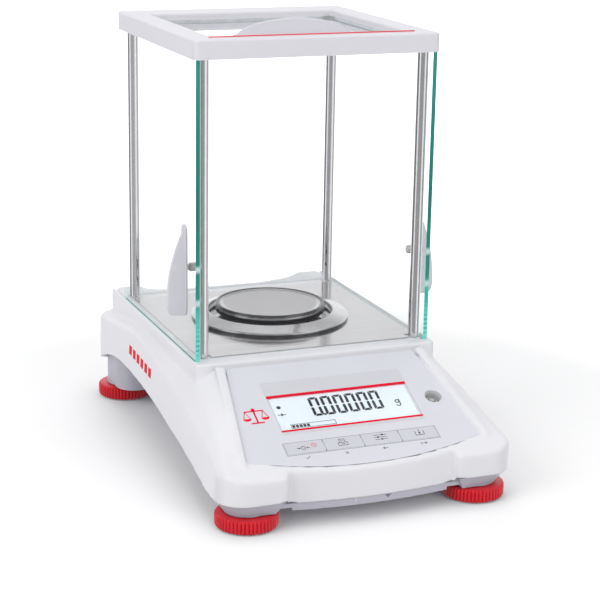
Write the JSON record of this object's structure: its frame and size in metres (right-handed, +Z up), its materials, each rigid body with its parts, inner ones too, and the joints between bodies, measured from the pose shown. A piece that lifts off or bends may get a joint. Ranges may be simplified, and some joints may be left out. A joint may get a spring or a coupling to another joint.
{
  "type": "analytical balance",
  "caption": "Analytical balance: sloped display base, round pan with anti-draft ring, glass draft shield with sliding side and top doors, and red levelling wheels.",
  "frame": {"origin": "centre between the four feet, on the surface the balance stands on", "axes": "+Z up, -Y towards the person at the control panel, +X to that person's right"},
  "size_m": [0.209, 0.321, 0.3072],
  "materials": {
    "white_plastic": "fine satin texture",
    "grey_plastic": "satin",
    "brass_insert": "machined",
    "overlay_film": "satin printed film",
    "display_window": "clear, smooth",
    "display_glass": "backlit liquid crystal",
    "circuit_board": "solder mask",
    "black_plastic": "moulded",
    "vial_liquid": "clear",
    "rear_panel": "fine satin texture",
    "socket_metal": "tin plated",
    "cable_grey": "soft jacket",
    "cast_aluminium": "as cast",
    "screw_steel": "zinc plated",
    "cell_aluminium": "milled",
    "coil_copper": "enamelled winding",
    "magnet_steel": "ground",
    "pan_steel": "fine circular brushing",
    "ring_steel": "polished",
    "floor_steel": "brushed",
    "post_steel": "polished",
    "clear_glass": "polished, green edges",
    "handle_plastic": "satin",
    "frame_plastic": "satin",
    "red_trim": "satin",
    "key_grey": "printed film",
    "pad_rubber": "matt",
    "red_wheel": "satin, ribbed",
    "stud_steel": "rolled thread"
  },
  "bodies": {
    "base": {"top_housing": "white_plastic", "bottom_tray": "grey_plastic", "threaded_inserts": "brass_insert", "control_overlay": "overlay_film", "display_window": "display_window", "display_module": "display_glass", "display_board": "circuit_board", "level_vial_cup": "black_plastic", "level_vial": "vial_liquid", "main_board": "circuit_board", "interface_board": "circuit_board", "rear_connector_panel": "rear_panel", "power_socket": "black_plastic", "serial_socket": "socket_metal", "usb_socket": "socket_metal", "ribbon_cable": "cable_grey", "chassis_plate": "cast_aluminium", "m4_screws": "screw_steel", "housing_screws": "screw_steel", "cell_frame": "cell_aluminium", "magnet_pot": "magnet_steel", "position_sensor": "circuit_board", "floor_plate": "floor_steel", "corner_posts": "post_steel", "front_glass": "clear_glass", "rear_glass": "clear_glass", "top_frame": "frame_plastic", "accent_strip": "red_trim"},
    "left_door": {"left_door_glass": "clear_glass", "left_door_handle": "handle_plastic", "left_door_knob": "handle_plastic"},
    "right_door": {"right_door_glass": "clear_glass", "right_door_handle": "handle_plastic", "right_door_knob": "handle_plastic"},
    "top_door": {"top_door_glass": "clear_glass", "top_door_handle": "handle_plastic"},
    "receiver": {"load_receiver": "cell_aluminium", "pan_support": "cell_aluminium"},
    "guide_upper": {"upper_guide": "cell_aluminium"},
    "guide_lower": {"lower_guide": "cell_aluminium"},
    "lever": {"lever_beam": "cell_aluminium", "drive_coil": "coil_copper"},
    "pan": {"weighing_pan": "pan_steel"},
    "draft_ring": {"anti_draft_ring": "ring_steel"},
    "key_zero": {"key_zero": "key_grey"},
    "key_print": {"key_print": "key_grey"},
    "key_function": {"key_function": "key_grey"},
    "key_tare": {"key_tare": "key_grey"},
    "pad_front_left": {"foot_pad_front_left": "pad_rubber"},
    "wheel_front_left": {"foot_wheel_front_left": "red_wheel", "foot_stud_front_left": "stud_steel"},
    "pad_front_right": {"foot_pad_front_right": "pad_rubber"},
    "wheel_front_right": {"foot_wheel_front_right": "red_wheel", "foot_stud_front_right": "stud_steel"},
    "pad_rear_left": {"foot_pad_rear_left": "pad_rubber"},
    "wheel_rear_left": {"foot_wheel_rear_left": "red_wheel", "foot_stud_rear_left": "stud_steel"},
    "pad_rear_right": {"foot_pad_rear_right": "pad_rubber"},
    "wheel_rear_right": {"foot_wheel_rear_right": "red_wheel", "foot_stud_rear_right": "stud_steel"}
  },
  "joints": [
    {"name": "left_door_slide", "type": "slide", "parent": "base", "child": "left_door", "axis": [0, 1, 0], "range_m": [0, 0.138]},
    {"name": "right_door_slide", "type": "slide", "parent": "base", "child": "right_door", "axis": [0, 1, 0], "range_m": [0, 0.138]},
    {"name": "top_door_slide", "type": "slide", "parent": "base", "child": "top_door", "axis": [0, 1, 0], "range_m": [0, 0.092]},
    {"name": "weighing_travel", "type": "slide", "parent": "base", "child": "receiver", "axis": [0, 0, 1], "range_m": [-0.0002, 0]},
    {"name": "upper_guide_flex", "type": "hinge", "parent": "base", "child": "guide_upper", "pos_m": [0, 0.104, 0.0711], "axis": [1, 0, 0], "range_deg": [-0.02, 0.2]},
    {"name": "lower_guide_flex", "type": "hinge", "parent": "base", "child": "guide_lower", "pos_m": [0, 0.104, 0.0328], "axis": [1, 0, 0], "range_deg": [-0.02, 0.2]},
    {"name": "lever_pivot", "type": "hinge", "parent": "base", "child": "lever", "pos_m": [0, 0.06, 0.052], "axis": [1, 0, 0], "range_deg": [-0.05, 1]},
    {"name": "pan_lift_off", "type": "slide", "parent": "receiver", "child": "pan", "axis": [0, 0, 1], "range_m": [0, 0.05]},
    {"name": "ring_lift_off", "type": "slide", "parent": "base", "child": "draft_ring", "axis": [0, 0, 1], "range_m": [0, 0.05]},
    {"name": "key_zero_press", "type": "slide", "parent": "base", "child": "key_zero", "axis": [0, -0.4149, 0.9099], "range_m": [-0.0004, 0]},
    {"name": "key_print_press", "type": "slide", "parent": "base", "child": "key_print", "axis": [0, -0.4149, 0.9099], "range_m": [-0.0004, 0]},
    {"name": "key_function_press", "type": "slide", "parent": "base", "child": "key_function", "axis": [0, -0.4149, 0.9099], "range_m": [-0.0004, 0]},
    {"name": "key_tare_press", "type": "slide", "parent": "base", "child": "key_tare", "axis": [0, -0.4149, 0.9099], "range_m": [-0.0004, 0]},
    {"name": "foot_front_left_travel", "type": "slide", "parent": "base", "child": "pad_front_left", "axis": [0, 0, 1], "range_m": [-0.0041, 0.0003]},
    {"name": "foot_front_left_turn", "type": "hinge", "parent": "pad_front_left", "child": "wheel_front_left", "pos_m": [-0.0813, -0.1395, 0], "axis": [0, 0, 1], "range_deg": [-1440, 90]},
    {"name": "foot_front_right_travel", "type": "slide", "parent": "base", "child": "pad_front_right", "axis": [0, 0, 1], "range_m": [-0.0041, 0.0003]},
    {"name": "foot_front_right_turn", "type": "hinge", "parent": "pad_front_right", "child": "wheel_front_right", "pos_m": [0.0813, -0.1395, 0], "axis": [0, 0, 1], "range_deg": [-1440, 90]},
    {"name": "foot_rear_left_travel", "type": "slide", "parent": "base", "child": "pad_rear_left", "axis": [0, 0, 1], "range_m": [-0.0041, 0.0003]},
    {"name": "foot_rear_left_turn", "type": "hinge", "parent": "pad_rear_left", "child": "wheel_rear_left", "pos_m": [-0.0813, 0.1395, 0], "axis": [0, 0, 1], "range_deg": [-1440, 90]},
    {"name": "foot_rear_right_travel", "type": "slide", "parent": "base", "child": "pad_rear_right", "axis": [0, 0, 1], "range_m": [-0.0041, 0.0003]},
    {"name": "foot_rear_right_turn", "type": "hinge", "parent": "pad_rear_right", "child": "wheel_rear_right", "pos_m": [0.0813, 0.1395, 0], "axis": [0, 0, 1], "range_deg": [-1440, 90]}
  ],
  "couplings": [
    {"joint": "upper_guide_flex", "follows": "weighing_travel", "rad_per_m": -14.815},
    {"joint": "lower_guide_flex", "follows": "weighing_travel", "rad_per_m": -14.815},
    {"joint": "lever_pivot", "follows": "weighing_travel", "rad_per_m": -83.333},
    {"joint": "foot_front_left_travel", "follows": "foot_front_left_turn", "m_per_rad": 0.00015915},
    {"joint": "foot_front_right_travel", "follows": "foot_front_right_turn", "m_per_rad": 0.00015915},
    {"joint": "foot_rear_left_travel", "follows": "foot_rear_left_turn", "m_per_rad": 0.00015915},
    {"joint": "foot_rear_right_travel", "follows": "foot_rear_right_turn", "m_per_rad": 0.00015915}
  ]
}
